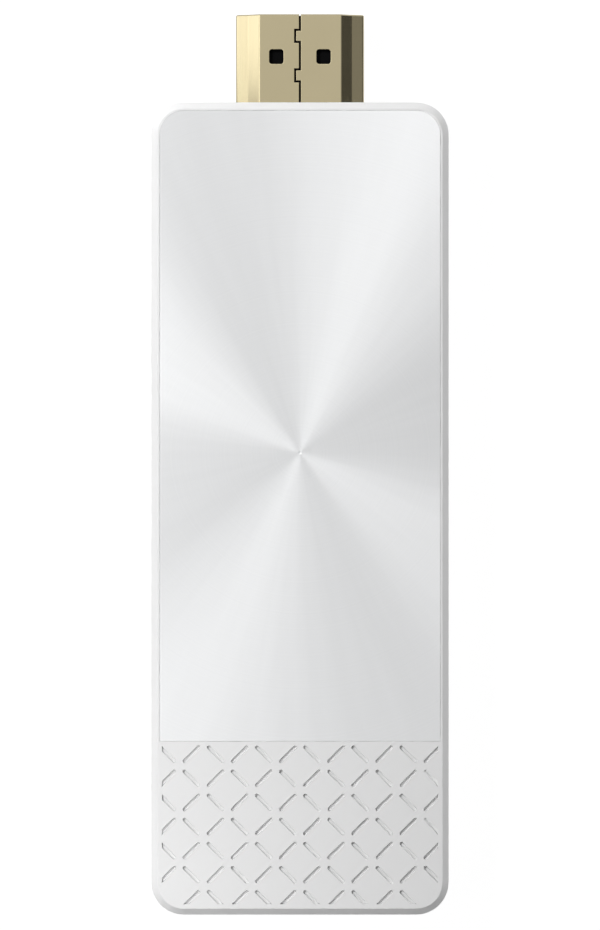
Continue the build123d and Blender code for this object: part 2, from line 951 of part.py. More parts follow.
def make_light_pipe():
    """The clear light pipe, with a flange inside the tail wall."""
    bar = light_pipe_bar(light_pipe_radius, (case_tail_y + light_pipe_recess, inner_tail_y + bite))
    flange_y = (inner_tail_y, inner_tail_y + light_pipe_flange_thickness)
    return bar + light_pipe_bar(light_pipe_flange_radius, flange_y)


def make_status_light():
    """The side-facing status light on the board's edge, behind the light pipe."""
    return block(
        around(light_pipe_offset, light_width),
        (board_tail_y, board_tail_y + light_depth),
        (board_top_z, board_top_z + light_height),
    )


def on_board(x, y, size_x, size_y, height):
    """A block that stands on the board's upper face."""
    return block(around(x, size_x), around(y, size_y), (board_top_z, board_top_z + height))


def under_board(x, y, size_x, size_y, height):
    """A block that hangs from the board's lower face."""
    return block(around(x, size_x), around(y, size_y), (board_bottom_z - height, board_bottom_z))


def make_thermal_pad():
    """The pad between the processor and the heat sink."""
    pad_z = board_top_z + processor_height
    y_span = around(processor_y, processor_side)
    return block(around(0, processor_side), y_span, (pad_z, pad_z + pad_thickness))


def make_heat_sink():
    """The heat sink: a base plate with upright fins along the case."""
    base_z = board_top_z + processor_height + pad_thickness
    y_span = around(processor_y, sink_length)
    sink = block(around(0, sink_width), y_span, (base_z, base_z + sink_base))
    fin_z = (base_z + sink_base - bite, ceiling_z - sink_roof_gap)
    for x in contact_xs(sink_fin_count, sink_fin_pitch):
        sink += block(around(x, sink_fin_thickness), y_span, fin_z)
    return sink


def make_memory_chips():
    """Two memory chips between the processor and the plug."""
    y = processor_y + (processor_side + memory_length) / 2 + memory_gap
    return [
        on_board(x, y, memory_width, memory_length, memory_height)
        for x in (-memory_spacing / 2, memory_spacing / 2)
    ]


def power_row_ys(count, pitch):
    """Places along the board of a row beside the power chip."""
    return [power_y + offset_y for offset_y in contact_xs(count, pitch)]


def make_power_inductors():
    """Inductors left of the power chip, with rounded corners."""
    outline = RectangleRounded(inductor_side, inductor_side, inductor_corner_radius)
    shape = prism(outline, (board_top_z, board_top_z + inductor_height))
    return [Pos(-inductor_offset, y, 0) * shape for y in power_row_ys(inductor_count, inductor_pitch)]


def make_tantalum_capacitors():
    """Moulded capacitors right of the power chip."""
    return [
        on_board(inductor_offset, y, tantalum_width, tantalum_length, tantalum_height)
        for y in power_row_ys(tantalum_count, tantalum_pitch)
    ]


def make_ceramic_capacitors():
    """Rows of ceramic capacitors beside the processor, above and under the board."""
    x = processor_side / 2 + capacitor_offset
    sizes = (capacitor_length, capacitor_width, capacitor_height)
    capacitors = []
    for offset_y in contact_xs(capacitor_count, capacitor_pitch):
        y = processor_y + offset_y
        capacitors += [on_board(side * x, y, *sizes) for side in (-1, 1)]
        capacitors += [under_board(side * x, y, *sizes) for side in (-1, 1)]
    return capacitors


def make_chip_resistors():
    """Rows of resistors on each side of the power chip's rows, across the board."""
    row_y = inductor_pitch * (inductor_count - 1) / 2 + inductor_side
    sizes = (resistor_width, resistor_length, resistor_height)
    return [
        on_board(x, power_y + side * row_y, *sizes)
        for side in (-1, 1)
        for x in contact_xs(resistor_count, resistor_pitch)
    ]


def make_crystals():
    """Two crystals, one by the processor's corner and one by the wireless module."""
    processor_x = processor_side / 2 + capacitor_offset
    crystal_y = processor_y - (processor_side + crystal_length) / 2
    module_x = (module_side + crystal_width) / 2 + crystal_gap
    return [
        on_board(-processor_x, crystal_y, crystal_width, crystal_length, crystal_height),
        on_board(-module_x, module_y, crystal_width, crystal_length, crystal_height),
    ]


def make_signal_filters():
    """A row of filters behind the plug."""
    y = board_front_y - filter_front_inset - filter_length / 2
    return [
        on_board(x, y, filter_width, filter_length, filter_height)
        for x in contact_xs(filter_count, filter_pitch)
    ]


def make_wireless_shield():
    """The drawn metal can over the wireless module."""
    side = module_side - 2 * module_shield_inset
    base_z = board_top_z + module_board_height
    can = block(around(0, side), around(module_y, side), (base_z, base_z + module_shield_height))
    inner = side - 2 * module_shield_sheet
    hollow_z = (base_z - past, base_z + module_shield_height - module_shield_sheet)
    return can - block(around(0, inner), around(module_y, inner), hollow_z)


def make_wireless_chip():
    """The radio chip under the can."""
    base_z = board_top_z + module_board_height
    y_span = around(module_y, module_chip_side)
    return block(around(0, module_chip_side), y_span, (base_z, base_z + module_chip_height))


def make_antennas():
    """Two chip antennas on the board's long edges, near the tail."""
    x = board_side_x - antenna_edge_inset - antenna_width / 2
    y = board_tail_y + antenna_tail_inset
    return both_sides(on_board(x, y, antenna_width, antenna_length, antenna_height))


def make_pieces():
    """Every piece by its name, as one solid or a list of like solids."""
    chip = (0, processor_y, processor_side, processor_side, processor_height)
    return {
        "top_cover": make_top_cover(),
        "spun_plate": make_spun_plate(),
        "plate_adhesive": make_plate_adhesive(),
        "bottom_cover": make_bottom_cover(),
        "rating_label": make_rating_label(),
        "main_board": make_main_board(),
        "board_screws": make_board_screws(),
        "plug_shell": make_plug_shell(),
        "plug_insulator": make_plug_insulator(),
        "plug_upper_contacts": make_plug_contacts(1, upper_contact_count),
        "plug_lower_contacts": make_plug_contacts(-1, lower_contact_count),
        "inlet_shell": make_inlet_shell(),
        "inlet_insulator": make_inlet_insulator(),
        "inlet_contacts": make_inlet_contacts(),
        "mode_button": make_mode_button(),
        "switch_base": make_switch_base(),
        "switch_cover": make_switch_cover(),
        "switch_dome": make_switch_dome(),
        "switch_plunger": make_switch_plunger(),
        "switch_terminals": make_switch_terminals(),
        "light_pipe": make_light_pipe(),
        "status_light": make_status_light(),
        "processor": on_board(*chip),
        "thermal_pad": make_thermal_pad(),
        "heat_sink": make_heat_sink(),
        "memory_chips": make_memory_chips(),
        "flash_chip": under_board(0, processor_y, flash_width, flash_length, flash_height),
        "power_chip": on_board(0, power_y, power_chip_side, power_chip_side, power_chip_height),
        "power_inductors": make_power_inductors(),
        "tantalum_capacitors": make_tantalum_capacitors(),
        "ceramic_capacitors": make_ceramic_capacitors(),
        "chip_resistors": make_chip_resistors(),
        "crystals": make_crystals(),
        "signal_filters": make_signal_filters(),
        "wireless_board": on_board(0, module_y, module_side, module_side, module_board_height),
        "wireless_chip": make_wireless_chip(),
        "wireless_shield": make_wireless_shield(),
        "antennas": make_antennas(),
    }


os.makedirs("parts", exist_ok=True)
for name, piece in make_pieces().items():
    group = Compound(children=piece) if isinstance(piece, list) else piece
    export_step(group, f"parts/{name}.step")
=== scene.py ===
import bpy
import bmesh
import math
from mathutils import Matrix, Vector


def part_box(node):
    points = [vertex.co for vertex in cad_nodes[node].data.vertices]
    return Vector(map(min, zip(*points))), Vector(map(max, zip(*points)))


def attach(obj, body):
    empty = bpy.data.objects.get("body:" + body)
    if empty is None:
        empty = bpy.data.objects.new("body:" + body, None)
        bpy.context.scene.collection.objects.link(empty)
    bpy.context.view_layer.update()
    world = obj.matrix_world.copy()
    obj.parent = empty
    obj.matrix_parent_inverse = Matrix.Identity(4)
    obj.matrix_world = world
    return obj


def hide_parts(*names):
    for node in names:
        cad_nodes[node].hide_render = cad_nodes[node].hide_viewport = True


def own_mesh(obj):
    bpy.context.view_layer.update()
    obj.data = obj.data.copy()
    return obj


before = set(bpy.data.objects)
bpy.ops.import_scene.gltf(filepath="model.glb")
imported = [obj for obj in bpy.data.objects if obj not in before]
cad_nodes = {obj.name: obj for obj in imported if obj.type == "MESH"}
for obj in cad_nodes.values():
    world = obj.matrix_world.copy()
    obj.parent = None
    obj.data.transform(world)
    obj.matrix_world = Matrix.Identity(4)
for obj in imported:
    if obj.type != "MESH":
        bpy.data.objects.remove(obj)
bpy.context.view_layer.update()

# Camera
# The photograph looks straight down on the decorated face, with the plug towards its top edge.
# It stands far off behind a long lens, and a little towards the tail.
camera_height = 0.9
camera_towards_tail = 0.000155
camera_lens_mm = 318.6
camera_sensor_mm = 36.0

camera_data = bpy.data.cameras.new("photo_camera")
camera_data.lens = camera_lens_mm
camera_data.sensor_width = camera_sensor_mm
camera_data.clip_start = 0.01
camera_data.clip_end = 10.0
camera = bpy.data.objects.new("photo_camera", camera_data)
camera.location = (0.0, -camera_towards_tail, camera_height)
bpy.context.scene.collection.objects.link(camera)
bpy.context.scene.camera = camera
bpy.context.scene.view_settings.view_transform = "Standard"

# Studio floor
# A pale table top that the dongle lies on. The camera sees it as white paper,
# which keeps a faint share of the shadow beside the case.
floor_half_side = 3.0
floor_colour = (0.86, 0.86, 0.86)
floor_glow = 1.1
floor_shadow_share = 0.12
floor_mottle_scale = 9.0
floor_mottle_change = 0.02


def add_object(name, mesh):
    """Puts a mesh into the scene as an object of its own."""
    thing = bpy.data.objects.new(name, mesh)
    bpy.context.scene.collection.objects.link(thing)
    return thing


def add_node(tree, kind, inputs=None, **settings):
    """Adds a shader node. Inputs are values or the sockets to wire to them, by name or number."""
    node = tree.nodes.new(kind)
    for name, value in settings.items():
        setattr(node, name, value)
    for name, value in (inputs or {}).items():
        if isinstance(value, bpy.types.NodeSocket):
            tree.links.new(value, node.inputs[name])
        else:
            node.inputs[name].default_value = value
    return node


def bare_material(name):
    """A material with an output and nothing wired to it."""
    material = bpy.data.materials.new(name)
    material.use_nodes = True
    tree = material.node_tree
    tree.nodes.clear()
    return material, tree, add_node(tree, "ShaderNodeOutputMaterial")


def math_node(tree, operation, first, second=0.0):
    """The result of one sum on two numbers or sockets."""
    return add_node(tree, "ShaderNodeMath", {0: first, 1: second}, operation=operation).outputs[0]


def vector_math(tree, operation, inputs):
    """A node for one sum on vectors."""
    return add_node(tree, "ShaderNodeVectorMath", inputs, operation=operation)


def scaled_colour(tree, colour, factor):
    """A colour made lighter or darker by a factor."""
    return vector_math(tree, "SCALE", {0: colour, "Scale": factor}).outputs[0]


def seen_directly(tree):
    """A mask that is 1 for rays from the camera, and for those that metal or glass send on."""
    rays = add_node(tree, "ShaderNodeLightPath").outputs
    camera_or_gloss = math_node(tree, "MAXIMUM", rays["Is Camera Ray"], rays["Is Glossy Ray"])
    return math_node(tree, "MAXIMUM", camera_or_gloss, rays["Is Transmission Ray"])


def floor_material():
    """White paper: lit as any pale surface, and shown to the camera mostly by its own glow."""
    material, tree, output = bare_material("studio_floor")
    place = add_node(tree, "ShaderNodeTexCoord").outputs["Object"]
    mottle = add_node(
        tree, "ShaderNodeTexNoise", {"Vector": place, "Scale": floor_mottle_scale, "Detail": 3.0}
    )
    change = add_node(
        tree,
        "ShaderNodeMapRange",
        {"Value": mottle.outputs["Fac"], "To Min": 1.0 - floor_mottle_change, "To Max": 1.0},
    )
    colour = scaled_colour(tree, floor_colour, change.outputs[0])
    paper = add_node(tree, "ShaderNodeBsdfDiffuse", {"Color": colour})
    glow = add_node(tree, "ShaderNodeEmission", {"Strength": floor_glow})
    share = math_node(tree, "MULTIPLY", seen_directly(tree), 1.0 - floor_shadow_share)
    mixed = add_node(tree, "ShaderNodeMixShader", {"Fac": share, 1: paper.outputs[0], 2: glow.outputs[0]})
    tree.links.new(mixed.outputs[0], output.inputs["Surface"])
    return material


def flat_sheet(name, corners, material):
    """A single flat sheet through its corners, for the studio around the object."""
    mesh = bpy.data.meshes.new(name)
    mesh.from_pydata([tuple(corner) for corner in corners], [], [tuple(range(len(corners)))])
    mesh.materials.append(material)
    sheet = add_object(name, mesh)
    return sheet


floor_corners = [
    (side_x * floor_half_side, side_y * floor_half_side, 0.0)
    for side_x, side_y in ((-1, -1), (1, -1), (1, 1), (-1, 1))
]
flat_sheet("studio_floor", floor_corners, floor_material())

# Studio room
# White walls all round: the camera, metal and glass see them as white,
# and matt surfaces take a lower, even light from them.
room_light = 0.095
room_white = 1.0

world = bpy.data.worlds.new("studio_room")
bpy.context.scene.world = world
world.use_nodes = True
world.node_tree.nodes.clear()
room_strength = add_node(
    world.node_tree,
    "ShaderNodeMapRange",
    {"Value": seen_directly(world.node_tree), "To Min": room_light, "To Max": room_white},
)
room_shader = add_node(
    world.node_tree, "ShaderNodeBackground", {"Color": (1, 1, 1, 1), "Strength": room_strength.outputs[0]}
)
room_output = add_node(world.node_tree, "ShaderNodeOutputWorld")
world.node_tree.links.new(room_shader.outputs[0], room_output.inputs["Surface"])

# Lamps and the grey card
# A key lamp high at the upper left, three weak lamps low round the case and three close by at its left
# light it. The ray lamps, the tail strip, the low strip and the soft box show only in metal: the spun
# plate's rays and the plug's left folds. A grey card, darkest at its foot, darkens the right folds.
far_lamps = {
    "key_lamp": {
        "azimuth": 135.0, "elevation": 55.0, "distance": 0.35,
        "watts": 0.64, "size": (0.06, 0.06),
    },
    "right_lamp": {
        "azimuth": 0.0, "elevation": 12.0, "distance": 0.35,
        "watts": 0.337, "size": (0.06, 0.06),
    },
    "front_lamp": {
        "azimuth": 90.0, "elevation": 12.0, "distance": 0.35,
        "watts": 0.2, "size": (0.06, 0.06),
    },
    "corner_lamp": {
        "azimuth": 135.0, "elevation": 12.0, "distance": 0.35,
        "watts": 0.07, "size": (0.06, 0.06),
    },
}
ray_lamps = {
    "far_ray_lamp": {
        "azimuth": 79.0, "elevation": 60.0, "distance": 0.7,
        "watts": 0.325, "size": (0.18, 0.2),
    },
    "next_ray_lamp": {
        "azimuth": 59.0, "elevation": 60.0, "distance": 0.7,
        "watts": 0.18, "size": (0.18, 0.2),
    },
    "side_ray_lamp": {
        "azimuth": 145.0, "elevation": 60.0, "distance": 0.7,
        "watts": 0.34, "size": (0.26, 0.2),
    },
    "faint_ray_lamp": {
        "azimuth": 105.0, "elevation": 60.0, "distance": 0.35,
        "watts": 0.021, "size": (0.05, 0.1),
    },
}
near_lamps = {
    "left_strip": {
        "place": (-0.04, 0.0, 0.08), "aim": (-0.01, 0.0, 0.0),
        "watts": 0.0155, "size": (0.2, 0.02),
    },
}
matt_lamps = {
    "side_strip": {
        "place": (-0.05, 0.0, 0.05), "aim": (-0.01, 0.0, 0.0),
        "watts": 0.008, "size": (0.2, 0.015),
    },
    "tail_lamp": {
        "place": (-0.03, -0.06, 0.05), "aim": (-0.012, -0.045, 0.0),
        "watts": 0.0042, "size": (0.03, 0.015),
    },
}
metal_lamps = {
    "tail_strip": {
        "place": (-0.045, -0.08, 0.06), "aim": (-0.015, -0.048, 0.0),
        "watts": 0.0088, "size": (0.08, 0.015),
    },
    "low_strip": {
        "place": (-0.07, 0.0, 0.06), "aim": (-0.0233, 0.0, 0.0),
        "watts": 0.0088, "size": (0.08, 0.015),
    },
    "soft_box": {
        "place": (-0.1, 0.085, 0.048), "aim": (0.0, 0.085, 0.048),
        "watts": 0.0345, "size": (0.08, 0.096),
    },
}
card_distance = 0.045
card_height = 0.055
card_half_length = 0.12
card_foot_light = 0.11
card_head_light = 0.39
card_change_span = (0.014, 0.030)
card_fibre_scale = 900.0
card_fibre_change = 0.1


def add_lamp(name, place, watts, size, aim=(0.0, 0.0, 0.0), on_matt=True, on_gloss=True):
    """A rectangular lamp that faces a point, and lights matt reflections, glossy ones or both."""
    light = bpy.data.lights.new(name, "AREA")
    light.shape = "RECTANGLE"
    light.size, light.size_y = size
    light.energy = watts
    lamp = bpy.data.objects.new(name, light)
    lamp.location = place
    lamp.rotation_mode = "QUATERNION"
    lamp.rotation_quaternion = (lamp.location - Vector(aim)).to_track_quat("Z", "Y")
    lamp.visible_camera = False
    lamp.visible_diffuse = on_matt
    lamp.visible_glossy = on_gloss
    bpy.context.scene.collection.objects.link(lamp)


def far_place(azimuth, elevation, distance):
    """A place by its azimuth from +X and its elevation, in degrees, and its distance."""
    around, up = math.radians(azimuth), math.radians(elevation)
    return Vector((math.cos(up) * math.cos(around), math.cos(up) * math.sin(around), math.sin(up))) * distance


def swing(tree, value, change):
    """A factor that goes from 1 - change to 1 + change as a value goes from 0 to 1."""
    centred = math_node(tree, "SUBTRACT", value, 0.5)
    whole_change = math_node(tree, "MULTIPLY", change, 2.0)
    return math_node(tree, "ADD", math_node(tree, "MULTIPLY", centred, whole_change), 1.0)


def card_material():
    """Grey card that is dark at its foot and paler above, with a faint fibre."""
    material, tree, output = bare_material("grey_card")
    place = add_node(tree, "ShaderNodeTexCoord").outputs["Object"]
    height = add_node(tree, "ShaderNodeSeparateXYZ", {0: place}).outputs["Z"]
    foot, head = card_change_span
    heights_and_shades = {
        "From Min": foot, "From Max": head, "To Min": card_foot_light, "To Max": card_head_light
    }
    shade = add_node(tree, "ShaderNodeMapRange", {"Value": height, **heights_and_shades})
    fibre = add_node(tree, "ShaderNodeTexNoise", {"Vector": place, "Scale": card_fibre_scale})
    fibre_tone = swing(tree, fibre.outputs["Fac"], card_fibre_change)
    strength = math_node(tree, "MULTIPLY", shade.outputs[0], fibre_tone)
    glow = add_node(tree, "ShaderNodeEmission", {"Strength": strength})
    tree.links.new(glow.outputs[0], output.inputs["Surface"])
    return material


for lamps, share in ((far_lamps, {"on_gloss": False}), (ray_lamps, {"on_matt": False})):
    for name, settings in lamps.items():
        place = far_place(settings.pop("azimuth"), settings.pop("elevation"), settings.pop("distance"))
        add_lamp(name, place, **settings, **share)
for lamps, share in ((near_lamps, {}), (matt_lamps, {"on_gloss": False}), (metal_lamps, {"on_matt": False})):
    for name, settings in lamps.items():
        add_lamp(name, **settings, **share)
card_corners = [
    (card_distance, side * card_half_length, height)
    for side, height in ((-1, 0.0), (1, 0.0), (1, card_height), (-1, card_height))
]
grey_card = flat_sheet("grey_card", card_corners, card_material())
grey_card.visible_camera = False
grey_card.visible_diffuse = False
grey_card.visible_shadow = False

# Covers
# Two shells of pearl-white satin plastic, moulded with a fine even grain, that snap together
# round the rim. The upper one has the plate's recess and the band of crossed dashes.
cover_white = (0.86, 0.86, 0.86)
# Painted shade: the covers' colour is darkened in the corners of the dashes and recesses.
painted_shade_reach = 0.00012
painted_crease_shade = 0.55


def new_group(name, inputs, outputs):
    """An empty shader node group. Inputs give each socket's kind and starting value."""
    group = bpy.data.node_groups.new(name, "ShaderNodeTree")
    kinds = {"colour": "NodeSocketColor", "number": "NodeSocketFloat", "vector": "NodeSocketVector"}
    for socket_name, (kind, value) in inputs.items():
        socket = group.interface.new_socket(socket_name, in_out="INPUT", socket_type=kinds[kind])
        socket.default_value = value
    for socket_name, kind in outputs.items():
        group.interface.new_socket(socket_name, in_out="OUTPUT", socket_type=kinds[kind])
    start = add_node(group, "NodeGroupInput")
    end = add_node(group, "NodeGroupOutput")
    return group, start.outputs, end.inputs


def moulded_skin_group():
    """Moulded plastic: slow clouds of tone, and a fine grain in the roughness and the height."""
    group, given, result = new_group(
        "moulded_skin",
        {
            "Colour": ("colour", (0.8, 0.8, 0.8, 1.0)),
            "Cloud Scale": ("number", 90.0),
            "Cloud Change": ("number", 0.02),
            "Grain Scale": ("number", 5000.0),
            "Roughness": ("number", 0.4),
            "Roughness Change": ("number", 0.15),
        },
        {"Colour": "colour", "Roughness": "number", "Height": "number"},
    )
    place = add_node(group, "ShaderNodeTexCoord").outputs["Object"]
    cloud = add_node(
        group, "ShaderNodeTexNoise", {"Vector": place, "Scale": given["Cloud Scale"], "Detail": 2.0}
    )
    grain = add_node(
        group, "ShaderNodeTexNoise", {"Vector": place, "Scale": given["Grain Scale"], "Detail": 3.0}
    )
    tone = swing(group, cloud.outputs["Fac"], given["Cloud Change"])
    group.links.new(scaled_colour(group, given["Colour"], tone), result["Colour"])
    rough_swing = swing(group, grain.outputs["Fac"], given["Roughness Change"])
    group.links.new(math_node(group, "MULTIPLY", given["Roughness"], rough_swing), result["Roughness"])
    group.links.new(grain.outputs["Fac"], result["Height"])
    return group


moulded_skin = moulded_skin_group()


def surface_material(name, group, values, relief, even_values=None):
    """A Principled material fed by a group's colour, roughness and height, and its metal mask if it has one.

    Values are the group's own inputs. Relief is the bump's depth in metres, and its strength.
    Even values are the same all over the surface, and are set on the shader itself.
    """
    material, tree, output = bare_material(name)
    skin = add_node(tree, "ShaderNodeGroup", node_tree=group)
    for socket_name, value in values.items():
        skin.inputs[socket_name].default_value = value
    shader = add_node(tree, "ShaderNodeBsdfPrincipled")
    for socket_name, value in (even_values or {}).items():
        shader.inputs[socket_name].default_value = value
    tree.links.new(skin.outputs["Colour"], shader.inputs["Base Color"])
    tree.links.new(skin.outputs["Roughness"], shader.inputs["Roughness"])
    if "Metallic" in skin.outputs:
        tree.links.new(skin.outputs["Metallic"], shader.inputs["Metallic"])
    depth, strength = relief
    bump = add_node(
        tree, "ShaderNodeBump", {"Height": skin.outputs["Height"], "Distance": depth, "Strength": strength}
    )
    tree.links.new(bump.outputs[0], shader.inputs["Normal"])
    tree.links.new(shader.outputs[0], output.inputs["Surface"])
    return material


def give(material, *node_names):
    """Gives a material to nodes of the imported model."""
    for node_name in node_names:
        slots = cad_nodes[node_name].data.materials
        slots.clear()
        slots.append(material)


def paint_shade_in_creases(material, reach, shade):
    """Darkens a material's colour in the corners of its grooves, by how shut in they are there: painted
    shade.
    """
    tree = material.node_tree
    shader = next(node for node in tree.nodes if node.type == "BSDF_PRINCIPLED")
    colour = shader.inputs["Base Color"].links[0].from_socket
    openness = add_node(tree, "ShaderNodeAmbientOcclusion", {"Distance": reach}, samples=8, only_local=True)
    open_part = math_node(tree, "MULTIPLY", openness.outputs["AO"], shade)
    light_share = math_node(tree, "ADD", open_part, 1.0 - shade)
    tree.links.new(scaled_colour(tree, colour, light_share), shader.inputs["Base Color"])


cover_plastic = surface_material(
    "cover_plastic",
    moulded_skin,
    {"Colour": (*cover_white, 1.0), "Cloud Scale": 60.0, "Cloud Change": 0.012, "Grain Scale": 7000.0,
     "Roughness": 0.42, "Roughness Change": 0.12},
    relief=(0.000004, 0.5),
)
# The grooves' corners take painted shade in the cover's colour.
paint_shade_in_creases(cover_plastic, painted_shade_reach, painted_crease_shade)
give(cover_plastic, "top_cover", "bottom_cover")

# Spun plate and its adhesive
# A thin plate of spun metal lies flush in the upper cover, on a sheet of adhesive film.
# A pad turned on it left fine rings round its middle, which throw rays of light like a disc's.
spin_centre = Vector((0.0, 0.00118, 0.0))
plate_corner_radius = 0.00256
plate_edge_round = 0.00002
plate_arc_steps = 10
plate_step = 0.0016
plate_ring_shares = (0.014, 0.022, 0.035, 0.055, 0.085, 0.13, 0.2, 0.3, 0.42, 0.55, 0.7, 0.85)
plate_map_face_width = 0.8
plate_map_rim = (0.82, 0.9)
plate_map_back = (0.92, 1.0)
plate_pip_radius = 0.00022
plate_pip_depth = 0.00006
plate_silver = (0.635, 0.64, 0.645)
plate_roughness = 0.328
plate_anisotropy = 0.966
ring_scale = 5200.0
ring_change = 0.02
ring_relief = 0.0000012
streak_scale = 14.0
streak_run = 4.0
streak_change = 0.03
streak_gloss_change = 0.06

plate_low, plate_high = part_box("spun_plate")


def plate_outline():
    """Points round the plate, counter-clockwise from its tail corner at the right."""
    radius = plate_corner_radius
    left, right, tail, front = plate_low.x, plate_high.x, plate_low.y, plate_high.y
    corners = [Vector((right, tail, 0.0))]
    for centre_x, start in ((right - radius, 0.0), (left + radius, math.pi / 2)):
        for step in range(plate_arc_steps + 1):
            angle = start + step / plate_arc_steps * math.pi / 2
            turn = Vector((math.cos(angle), math.sin(angle), 0.0)) * radius
            corners.append(Vector((centre_x, front - radius, 0.0)) + turn)
    corners.append(Vector((left, tail, 0.0)))
    points = []
    for start, end in zip(corners, corners[1:] + corners[:1]):
        pieces = max(1, round((end - start).length / plate_step))
        points += [start.lerp(end, piece / pieces) for piece in range(pieces)]
    return points


def drawn_in(points, inset):
    """The outline moved inwards, square to itself."""
    moved = []
    for before, point, after in zip(points[-1:] + points[:-1], points, points[1:] + points[:1]):
        sides = [(after - point).normalized(), (point - before).normalized()]
        inward = [Vector((-side.y, side.x, 0.0)) for side in sides]
        middle = (inward[0] + inward[1]).normalized()
        moved.append(point + middle * (inset / middle.dot(inward[0])))
    return moved


def spun_plate_mesh():
    """A polar mesh: rings of corners about the spin centre, a rounded rim, the edge and the back."""
    outline = plate_outline()
    count = len(outline)
    shape = bmesh.new()
    bake_map = shape.loops.layers.uv.new("OFBake")

    def ring(points, height):
        return [shape.verts.new((point.x, point.y, height)) for point in points]

    top, bottom = plate_high.z, plate_low.z
    face_rim = drawn_in(outline, plate_edge_round)
    pip = [
        spin_centre + Vector((point.x, point.y - spin_centre.y, 0.0)).normalized() * plate_pip_radius
        for point in outline
    ]
    face = [ring(pip, top)]
    face += [ring([spin_centre.lerp(point, share) for point in face_rim], top) for share in plate_ring_shares]
    face.append(ring(face_rim, top))
    shoulder_turn = math.pi / 4
    shoulder = drawn_in(outline, plate_edge_round * (1 - math.sin(shoulder_turn)))
    rim = [
        ring(shoulder, top - plate_edge_round * (1 - math.cos(shoulder_turn))),
        ring(outline, top - plate_edge_round),
        ring(outline, bottom),
    ]
    bands = face + rim
    rim_foot = len(face) - 1
    middle_top = shape.verts.new((spin_centre.x, spin_centre.y, top - plate_pip_depth))
    middle_bottom = shape.verts.new((spin_centre.x, spin_centre.y, bottom))
    longest = max((point - spin_centre).length for point in outline)
    rim_start, rim_end = plate_map_rim
    back_start, back_end = plate_map_back

    def across(vertex, band):
        """How far across the map a vertex of a band lies."""
        reach = (Vector((vertex.co.x, vertex.co.y, 0.0)) - spin_centre).length / longest
        if band <= rim_foot:
            return reach * plate_map_face_width
        return rim_start + (rim_end - rim_start) * (band - rim_foot) / len(rim)

    def skin(vertices, places, smooth=False):
        """A face between vertices, with their places on the map."""
        patch = shape.faces.new(vertices)
        patch.smooth = smooth
        for loop, place in zip(patch.loops, places):
            loop[bake_map].uv = place

    for sector in range(count):
        following = (sector + 1) % count
        low_v, high_v = sector / count, (sector + 1) / count
        first = bands[0]
        skin(
            (middle_top, first[sector], first[following]),
            (
                (0.0, (low_v + high_v) / 2),
                (across(first[sector], 0), low_v),
                (across(first[following], 0), high_v),
            ),
        )
        for band in range(len(bands) - 1):
            inner, outer = bands[band], bands[band + 1]
            inner_u = [across(inner[place], band) for place in (sector, following)]
            outer_u = [across(outer[place], band + 1) for place in (sector, following)]
            if band == rim_foot:
                inner_u = [rim_start, rim_start]
            skin(
                (inner[sector], outer[sector], outer[following], inner[following]),
                ((inner_u[0], low_v), (outer_u[0], low_v), (outer_u[1], high_v), (inner_u[1], high_v)),
                smooth=rim_foot <= band < rim_foot + 2,
            )
        last = bands[-1]
        skin(
            (last[sector], middle_bottom, last[following]),
            ((back_start, low_v), (back_end, (low_v + high_v) / 2), (back_start, high_v)),
        )
    mesh = bpy.data.meshes.new("spun_plate_finish")
    shape.to_mesh(mesh)
    shape.free()
    return mesh


def spun_metal_material():
    """Spun metal: rings round the centre, faint streaks across them, and gloss stretched along the radius."""
    material, tree, output = bare_material("spun_metal")
    place = add_node(tree, "ShaderNodeTexCoord").outputs["Object"]
    arm = vector_math(tree, "SUBTRACT", {0: place, 1: spin_centre}).outputs[0]
    level = vector_math(tree, "MULTIPLY", {0: arm, 1: (1.0, 1.0, 0.0)}).outputs[0]
    outward = vector_math(tree, "NORMALIZE", {0: level}).outputs[0]
    reach = vector_math(tree, "LENGTH", {0: level}).outputs["Value"]
    rings = add_node(
        tree, "ShaderNodeTexNoise", {"W": reach, "Scale": ring_scale, "Detail": 2.0}, noise_dimensions="1D"
    )
    along = add_node(tree, "ShaderNodeCombineXYZ", {"Z": math_node(tree, "MULTIPLY", reach, streak_run)})
    streak_place = vector_math(tree, "ADD", {0: outward, 1: along.outputs[0]}).outputs[0]
    streaks = add_node(
        tree, "ShaderNodeTexNoise", {"Vector": streak_place, "Scale": streak_scale, "Detail": 4.0}
    )
    tone = math_node(
        tree,
        "MULTIPLY",
        swing(tree, streaks.outputs["Fac"], streak_change),
        swing(tree, rings.outputs["Fac"], ring_change),
    )
    streak_gloss = swing(tree, streaks.outputs["Fac"], streak_gloss_change)
    bump = add_node(
        tree, "ShaderNodeBump", {"Height": rings.outputs["Fac"], "Distance": ring_relief, "Strength": 1.0}
    )
    shader = add_node(
        tree,
        "ShaderNodeBsdfPrincipled",
        {
            "Base Color": scaled_colour(tree, plate_silver, tone),
            "Metallic": 1.0,
            "Roughness": math_node(tree, "MULTIPLY", plate_roughness, streak_gloss),
            "Anisotropic": plate_anisotropy,
            "Tangent": outward,
            "Normal": bump.outputs[0],
        },
    )
    tree.links.new(shader.outputs[0], output.inputs["Surface"])
    return material


spun_plate_finish = add_object("spun_plate_finish", spun_plate_mesh())
spun_plate_finish.data.materials.append(spun_metal_material())
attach(spun_plate_finish, "dongle")
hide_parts("spun_plate")

adhesive_material = surface_material(
    "adhesive_film",
    moulded_skin,
    {"Colour": (0.75, 0.75, 0.72, 1.0), "Cloud Scale": 200.0, "Cloud Change": 0.06, "Grain Scale": 2500.0,
     "Roughness": 0.55, "Roughness Change": 0.2},
    relief=(0.00001, 0.5),
)
give(adhesive_material, "plate_adhesive")

# Rating label
# A bare sheet of satin silver film, stuck in a shallow recess of the underside.
# It carries no print.
label_material = surface_material(
    "label_film",
    moulded_skin,
    {"Colour": (0.7, 0.705, 0.71, 1.0), "Cloud Scale": 70.0, "Cloud Change": 0.02, "Grain Scale": 9000.0,
     "Roughness": 0.38, "Roughness Change": 0.2},
    relief=(0.000003, 0.4),
    even_values={"Metallic": 0.6},
)
give(label_material, "rating_label")

